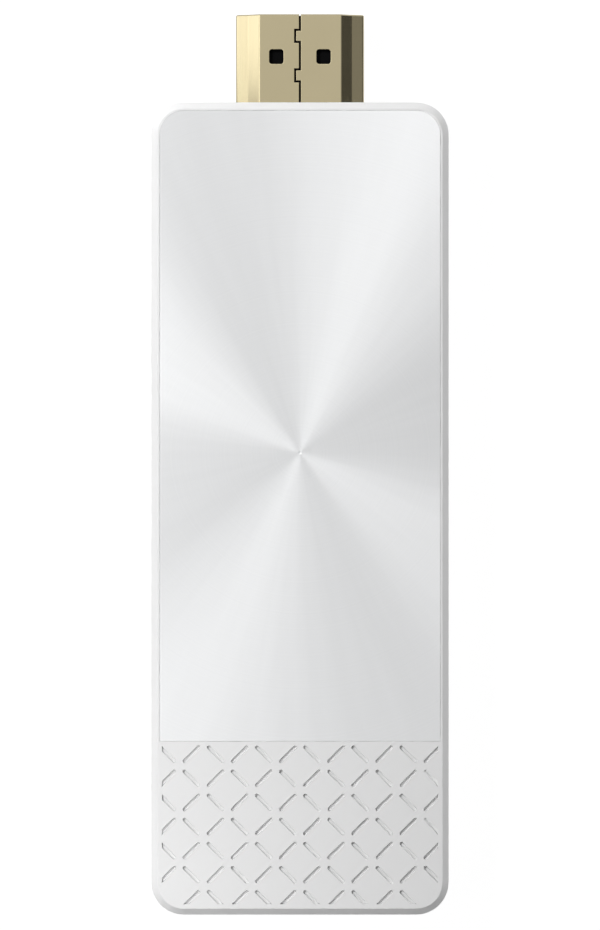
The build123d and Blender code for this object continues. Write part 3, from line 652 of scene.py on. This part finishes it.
# Video plug
# A folded sheet-steel shell with a pale gold plating, closed by a seam with two dovetails, round a
# black moulded insulator. The gilt contacts lie in its slot, nine above and ten below.
gold_plate = (0.47, 0.41, 0.262)
gold_shade = (0.36, 0.31, 0.19)
gold_roughness = 0.16
contact_gold = (0.85, 0.62, 0.27)
contact_shade = (0.7, 0.48, 0.2)
contact_roughness = 0.22
sheet_stain_amount = 0.3
sheet_relief = (0.000001, 0.6)
# The insulator's black is darker than moulded black plastic: partly its own colour, partly painted shade for
# the plug's windows and seam.
socket_black_and_painted_shade = (0.004, 0.004, 0.0044)


def mixed_colour(tree, share, first, second):
    """The first colour where the share is 0, and the second where it is 1."""
    return add_node(tree, "ShaderNodeMix", {0: share, 6: first, 7: second}, data_type="RGBA").outputs[2]


def rolled_sheet_group():
    """Sheet metal: fine rolling lines along one direction, and a faint uneven stain."""
    group, given, result = new_group(
        "rolled_sheet",
        {
            "Colour": ("colour", (0.6, 0.6, 0.6, 1.0)),
            "Stain Colour": ("colour", (0.4, 0.4, 0.4, 1.0)),
            "Stain Amount": ("number", 0.2),
            "Stain Scale": ("number", 150.0),
            "Stretch": ("vector", (1.0, 0.02, 1.0)),
            "Line Scale": ("number", 9000.0),
            "Roughness": ("number", 0.25),
            "Roughness Change": ("number", 0.2),
        },
        {"Colour": "colour", "Roughness": "number", "Height": "number"},
    )
    place = add_node(group, "ShaderNodeTexCoord").outputs["Object"]
    drawn = vector_math(group, "MULTIPLY", {0: place, 1: given["Stretch"]})
    lines = add_node(
        group, "ShaderNodeTexNoise", {"Vector": drawn.outputs[0], "Scale": given["Line Scale"], "Detail": 3.0}
    ).outputs["Fac"]
    stain = add_node(
        group, "ShaderNodeTexNoise", {"Vector": place, "Scale": given["Stain Scale"], "Detail": 3.0}
    ).outputs["Fac"]
    stained = math_node(group, "MULTIPLY", stain, given["Stain Amount"])
    mixed = mixed_colour(group, stained, given["Colour"], given["Stain Colour"])
    group.links.new(mixed, result["Colour"])
    rough_swing = swing(group, lines, given["Roughness Change"])
    group.links.new(math_node(group, "MULTIPLY", given["Roughness"], rough_swing), result["Roughness"])
    group.links.new(lines, result["Height"])
    return group


rolled_sheet = rolled_sheet_group()


def sheet_metal(name, colour, stain, roughness, stretch=(1.0, 0.02, 1.0)):
    """A bare or plated metal with rolling lines along the axis that is stretched least."""
    values = {"Colour": (*colour, 1.0), "Stain Colour": (*stain, 1.0), "Stain Amount": sheet_stain_amount,
              "Stretch": stretch, "Roughness": roughness}
    return surface_material(name, rolled_sheet, values, relief=sheet_relief, even_values={"Metallic": 1.0})


give(sheet_metal("gold_plating", gold_plate, gold_shade, gold_roughness), "plug_shell")
give(
    sheet_metal("contact_gold", contact_gold, contact_shade, contact_roughness),
    "plug_upper_contacts",
    "plug_lower_contacts",
    "inlet_contacts",
)
socket_plastic = surface_material(
    "socket_plastic",
    moulded_skin,
    {"Colour": (*socket_black_and_painted_shade, 1.0), "Cloud Scale": 300.0, "Cloud Change": 0.1, "Grain Scale": 8000.0,
     "Roughness": 0.6, "Roughness Change": 0.2},
    relief=(0.000004, 0.5),
    even_values={"Specular IOR Level": 0.03},
)
give(socket_plastic, "plug_insulator", "inlet_insulator")

# Power inlet
# A small tinned-steel socket at the tail, soldered to the board by two ears.
# Its black moulding and five gilt contacts take the finishes of the plug's.
tinned_steel = sheet_metal("steel_sheet", (0.66, 0.65, 0.63), (0.5, 0.49, 0.47), 0.28)
give(tinned_steel, "inlet_shell")

# Mode button and its switch
# A round-ended cap in the side wall, moulded in a slightly greyer white than the case. Behind it
# a small switch holds a snap dome under a steel cover, and springs the cap back.
button_material = surface_material(
    "button_plastic",
    moulded_skin,
    {"Colour": (0.74, 0.745, 0.75, 1.0), "Cloud Scale": 250.0, "Cloud Change": 0.015, "Grain Scale": 8000.0,
     "Roughness": 0.36, "Roughness Change": 0.15},
    relief=(0.000003, 0.5),
)
give(button_material, "mode_button")
switch_plastic = surface_material(
    "switch_plastic",
    moulded_skin,
    {"Colour": (0.045, 0.04, 0.038, 1.0), "Cloud Scale": 400.0, "Cloud Change": 0.1, "Grain Scale": 7000.0,
     "Roughness": 0.45, "Roughness Change": 0.2},
    relief=(0.000004, 0.5),
)
give(switch_plastic, "switch_base", "switch_plunger")
give(tinned_steel, "switch_cover", "switch_terminals")

# Snap dome
# A thin round cap of spring steel on the floor of the switch's cavity.
# In the real switch the button presses it almost flat, and it springs the button back; here it stands at
# rest.
dome_steel = (0.58, 0.57, 0.55)
dome_stain = (0.45, 0.44, 0.42)
dome_roughness = 0.2
dome_sheet = 0.00008
dome_steps = 8
dome_sectors = 48

dome_low, dome_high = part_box("switch_dome")
dome_foot = Vector((dome_low.x, (dome_low.y + dome_high.y) / 2, (dome_low.z + dome_high.z) / 2))


def snap_dome_mesh():
    """Two arcs, one inside the other, turned about the line that the button moves on."""
    height, rim = dome_high.x - dome_low.x, (dome_high.y - dome_low.y) / 2
    ball_radius = (rim**2 + height**2) / (2 * height)
    sunk = ball_radius - height
    shape = bmesh.new()

    def ring(radius, turn):
        """The vertices that one place on an arc passes through, or its single one at the top."""
        up, out = radius * math.cos(turn) - sunk, radius * math.sin(turn)
        if turn == 0.0:
            return [shape.verts.new(dome_foot + Vector((up, 0.0, 0.0)))] * dome_sectors
        angles = [sector / dome_sectors * math.tau for sector in range(dome_sectors)]
        return [
            shape.verts.new(dome_foot + Vector((up, out * math.cos(angle), out * math.sin(angle))))
            for angle in angles
        ]

    def arc(radius):
        """The rings of one arc, from its foot to its top."""
        foot_turn = math.acos(sunk / radius)
        return [ring(radius, foot_turn * (dome_steps - step) / dome_steps) for step in range(dome_steps + 1)]

    rings = arc(ball_radius)[::-1] + arc(ball_radius - dome_sheet)
    for band, (first, second) in enumerate(zip(rings, rings[1:])):
        for sector in range(dome_sectors):
            following = (sector + 1) % dome_sectors
            corners = (first[sector], second[sector], second[following], first[following])
            face = shape.faces.new(list(dict.fromkeys(corners)))
            face.smooth = band != dome_steps
    bmesh.ops.recalc_face_normals(shape, faces=shape.faces)
    mesh = bpy.data.meshes.new("snap_dome_spring")
    shape.to_mesh(mesh)
    shape.free()
    return mesh


snap_dome_spring = add_object("snap_dome_spring", snap_dome_mesh())
snap_dome_spring.data.materials.append(
    sheet_metal("dome_steel", dome_steel, dome_stain, dome_roughness, stretch=(0.05, 1.0, 1.0))
)
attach(snap_dome_spring, "dongle")
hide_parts("switch_dome")
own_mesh(snap_dome_spring)

# Light pipe and status light
# A clear moulded rod in the tail wall carries the light of a small side-facing lamp on the board.
# The lamp is a block of milky resin.
pipe_material = surface_material(
    "clear_plastic",
    moulded_skin,
    {"Colour": (0.93, 0.95, 0.96, 1.0), "Cloud Scale": 500.0, "Cloud Change": 0.02, "Grain Scale": 6000.0,
     "Roughness": 0.12, "Roughness Change": 0.4},
    relief=(0.000002, 0.4),
    even_values={"Transmission Weight": 0.9, "IOR": 1.49},
)
give(pipe_material, "light_pipe")
light_material = surface_material(
    "light_plastic",
    moulded_skin,
    {"Colour": (0.83, 0.84, 0.78, 1.0), "Cloud Scale": 700.0, "Cloud Change": 0.05, "Grain Scale": 6000.0,
     "Roughness": 0.3, "Roughness Change": 0.2},
    relief=(0.000003, 0.4),
)
give(light_material, "status_light")

# Main board and its screws
# Green laminate with copper tracks under a lacquer, held to the lower cover's posts by four
# zinc-plated screws with domed heads.
lacquer_green = (0.018, 0.095, 0.045)
track_green = (0.035, 0.16, 0.075)
pad_tin = (0.6, 0.6, 0.58)
sideways_share = 0.5
trackless_share = 0.35
track_gap_level = 0.1
lacquer_roughness = 0.26
spot_roughness = 0.38


def board_print_group():
    """Printed circuit: tracks in patches that run either way, and tinned spots, as colour and height."""
    group, given, result = new_group(
        "board_print",
        {
            "Lacquer Colour": ("colour", (*lacquer_green, 1.0)),
            "Track Colour": ("colour", (*track_green, 1.0)),
            "Spot Colour": ("colour", (*pad_tin, 1.0)),
            "Track Scale": ("number", 1500.0),
            "Patch Scale": ("number", 260.0),
            "Spot Scale": ("number", 420.0),
            "Spot Size": ("number", 0.11),
        },
        {"Colour": "colour", "Roughness": "number", "Metallic": "number", "Height": "number"},
    )
    place = add_node(group, "ShaderNodeTexCoord").outputs["Object"]
    axes = add_node(group, "ShaderNodeSeparateXYZ", {0: place}).outputs
    patch = add_node(
        group,
        "ShaderNodeTexVoronoi",
        {"Vector": place, "Scale": given["Patch Scale"]},
        distance="CHEBYCHEV",
    )
    choice = add_node(group, "ShaderNodeSeparateColor", {0: patch.outputs["Color"]}).outputs
    sideways = math_node(group, "GREATER_THAN", choice[0], sideways_share)
    run = add_node(group, "ShaderNodeMix", {0: sideways, 2: axes["X"], 3: axes["Y"]}).outputs[0]
    phase = math_node(group, "MULTIPLY", run, math_node(group, "MULTIPLY", given["Track Scale"], math.tau))
    has_tracks = math_node(group, "GREATER_THAN", choice[1], trackless_share)
    stripes = math_node(group, "GREATER_THAN", math_node(group, "SINE", phase), track_gap_level)
    tracks = math_node(group, "MULTIPLY", stripes, has_tracks)
    spot = add_node(group, "ShaderNodeTexVoronoi", {"Vector": place, "Scale": given["Spot Scale"]})
    spots = math_node(group, "LESS_THAN", spot.outputs["Distance"], given["Spot Size"])
    printed = mixed_colour(group, tracks, given["Lacquer Colour"], given["Track Colour"])
    group.links.new(mixed_colour(group, spots, printed, given["Spot Colour"]), result["Colour"])
    group.links.new(spots, result["Metallic"])
    rougher = math_node(group, "MULTIPLY", spots, spot_roughness - lacquer_roughness)
    group.links.new(math_node(group, "ADD", rougher, lacquer_roughness), result["Roughness"])
    group.links.new(math_node(group, "MAXIMUM", tracks, spots), result["Height"])
    return group


board_print = board_print_group()


def board_material(name, values):
    """A lacquered board, whose tinned spots are metal."""
    return surface_material(
        name, board_print, values, relief=(0.00002, 0.6), even_values={"Coat Weight": 0.3}
    )


give(board_material("board_laminate", {}), "main_board")
screw_zinc = sheet_metal("screw_steel", (0.62, 0.63, 0.65), (0.5, 0.5, 0.48), 0.24, stretch=(1.0, 1.0, 0.05))
give(screw_zinc, "board_screws")

# Processor, thermal pad and heat sink
# The processor sits in the middle of the board. A soft grey pad carries its heat to a finned
# block of extruded aluminium, anodised black.
chip_black = (0.022, 0.022, 0.024)
dot_grey = (0.09, 0.09, 0.09)
dot_inset = 0.0011
dot_radius = 0.0004
small_dot_radius = 0.00025
resin_change = 0.15
resin_relief_share = 0.3


def chip_face_group():
    """Moulded chip resin, with a small paler dot pressed in at one corner."""
    group, given, result = new_group(
        "chip_face",
        {
            "Colour": ("colour", (*chip_black, 1.0)),
            "Dot Colour": ("colour", (*dot_grey, 1.0)),
            "Dot Place": ("vector", (0.0, 0.0, 0.0)),
            "Dot Radius": ("number", dot_radius),
            "Grain Scale": ("number", 5000.0),
            "Roughness": ("number", 0.55),
        },
        {"Colour": "colour", "Roughness": "number", "Height": "number"},
    )
    place = add_node(group, "ShaderNodeTexCoord").outputs["Object"]
    apart = vector_math(group, "DISTANCE", {0: place, 1: given["Dot Place"]})
    dot = math_node(group, "LESS_THAN", apart.outputs["Value"], given["Dot Radius"])
    grain = add_node(
        group, "ShaderNodeTexNoise", {"Vector": place, "Scale": given["Grain Scale"], "Detail": 2.0}
    ).outputs["Fac"]
    grain_swing = swing(group, grain, resin_change)
    mixed = mixed_colour(group, dot, given["Colour"], given["Dot Colour"])
    group.links.new(scaled_colour(group, mixed, grain_swing), result["Colour"])
    group.links.new(math_node(group, "MULTIPLY", given["Roughness"], grain_swing), result["Roughness"])
    grain_height = math_node(group, "MULTIPLY", grain, resin_relief_share)
    group.links.new(math_node(group, "SUBTRACT", grain_height, dot), result["Height"])
    return group


chip_face = chip_face_group()


def give_chip_resin(node_name, upper=True, radius=dot_radius):
    """A chip's resin, with the dot in one corner of the face that looks away from the board."""
    low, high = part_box(node_name)
    dot_place = (low.x + dot_inset, high.y - dot_inset, high.z if upper else low.z)
    values = {"Dot Place": dot_place, "Dot Radius": radius}
    give(surface_material(f"{node_name}_resin", chip_face, values, relief=(0.00002, 0.5)), node_name)


give_chip_resin("processor")
pad_material = surface_material(
    "pad_rubber",
    moulded_skin,
    {"Colour": (0.42, 0.47, 0.5, 1.0), "Cloud Scale": 400.0, "Cloud Change": 0.08, "Grain Scale": 2500.0,
     "Roughness": 0.75, "Roughness Change": 0.15},
    relief=(0.00002, 0.6),
)
give(pad_material, "thermal_pad")
sink_metal = sheet_metal(
    "sink_aluminium", (0.07, 0.07, 0.073), (0.05, 0.05, 0.052), 0.42, stretch=(1.0, 0.01, 1.0)
)
give(sink_metal, "heat_sink")

# Memory, flash and power chips
# Black moulded chips: the memory beside the processor, the flash chip under the board
# and the power controller behind them.
give_chip_resin("memory_chips")
give_chip_resin("flash_chip", upper=False)
give_chip_resin("power_chip", radius=small_dot_radius)

# Power inductors
# Coils sealed in pressed ferrite powder, dark grey and coarse.
ferrite = surface_material(
    "inductor_ferrite",
    moulded_skin,
    {"Colour": (0.085, 0.085, 0.09, 1.0), "Cloud Scale": 600.0, "Cloud Change": 0.15, "Grain Scale": 3500.0,
     "Roughness": 0.6, "Roughness Change": 0.25},
    relief=(0.00003, 0.7),
)
give(ferrite, "power_inductors")

# Small parts with tinned ends
# Capacitors, resistors, filters and chip antennas: moulded or fired bodies in rows,
# whose two ends are dipped in tin and soldered down.
body_grain_scale = 4000.0
body_tone_change = 0.1
body_gloss_change = 0.2
body_roughness = 0.45


def capped_body_group():
    """A small part's body with tinned ends, told apart by the place along the part."""
    group, given, result = new_group(
        "capped_body",
        {
            "Body Colour": ("colour", (0.4, 0.3, 0.2, 1.0)),
            "Cap Colour": ("colour", (*pad_tin, 1.0)),
            "Direction": ("vector", (0.0, 1.0, 0.0)),
            "Row Middle": ("number", 0.0),
            "Part Offset": ("number", 0.0),
            "Body Half": ("number", 0.0005),
            "Body Roughness": ("number", 0.4),
        },
        {"Colour": "colour", "Roughness": "number", "Metallic": "number", "Height": "number"},
    )
    place = add_node(group, "ShaderNodeTexCoord").outputs["Object"]
    along = vector_math(group, "DOT_PRODUCT", {0: place, 1: given["Direction"]}).outputs["Value"]
    from_middle = math_node(group, "ABSOLUTE", math_node(group, "SUBTRACT", along, given["Row Middle"]))
    from_part = math_node(group, "ABSOLUTE", math_node(group, "SUBTRACT", from_middle, given["Part Offset"]))
    cap = math_node(group, "GREATER_THAN", from_part, given["Body Half"])
    grain = add_node(
        group, "ShaderNodeTexNoise", {"Vector": place, "Scale": body_grain_scale, "Detail": 2.0}
    ).outputs["Fac"]
    mixed = mixed_colour(group, cap, given["Body Colour"], given["Cap Colour"])
    group.links.new(scaled_colour(group, mixed, swing(group, grain, body_tone_change)), result["Colour"])
    group.links.new(cap, result["Metallic"])
    gloss_swing = swing(group, grain, body_gloss_change)
    group.links.new(math_node(group, "MULTIPLY", given["Body Roughness"], gloss_swing), result["Roughness"])
    group.links.new(grain, result["Height"])
    return group


capped_body = capped_body_group()


def give_capped(node_name, body_colour, along, length, cap_length):
    """A row of parts with tinned ends. Along is the axis that the parts lie on, by its number."""
    low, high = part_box(node_name)
    middle = (low[along] + high[along]) / 2
    offset = (high[along] - low[along] - length) / 2
    direction = [0.0, 0.0, 0.0]
    direction[along] = 1.0
    values = {"Body Colour": (*body_colour, 1.0), "Direction": direction, "Row Middle": middle,
              "Part Offset": offset, "Body Half": length / 2 - cap_length, "Body Roughness": body_roughness}
    give(surface_material(f"{node_name}_finish", capped_body, values, relief=(0.00001, 0.5)), node_name)


give_capped("tantalum_capacitors", (0.55, 0.3, 0.05), along=1, length=0.0035, cap_length=0.0004)
give_capped("ceramic_capacitors", (0.32, 0.2, 0.11), along=0, length=0.0016, cap_length=0.00035)
give_capped("chip_resistors", (0.03, 0.03, 0.033), along=1, length=0.001, cap_length=0.0002)
give_capped("signal_filters", (0.62, 0.6, 0.55), along=1, length=0.002, cap_length=0.0003)
give_capped("antennas", (0.72, 0.72, 0.7), along=1, length=0.007, cap_length=0.0006)
give(tinned_steel, "crystals")

# Wireless module
# A small board of its own, soldered to the main board, with the radio chip
# under a drawn can of tinned steel.
give(board_material("module_laminate", {"Track Scale": 2200.0, "Patch Scale": 500.0}), "wireless_board")
give_chip_resin("wireless_chip", radius=small_dot_radius)
give(tinned_steel, "wireless_shield")
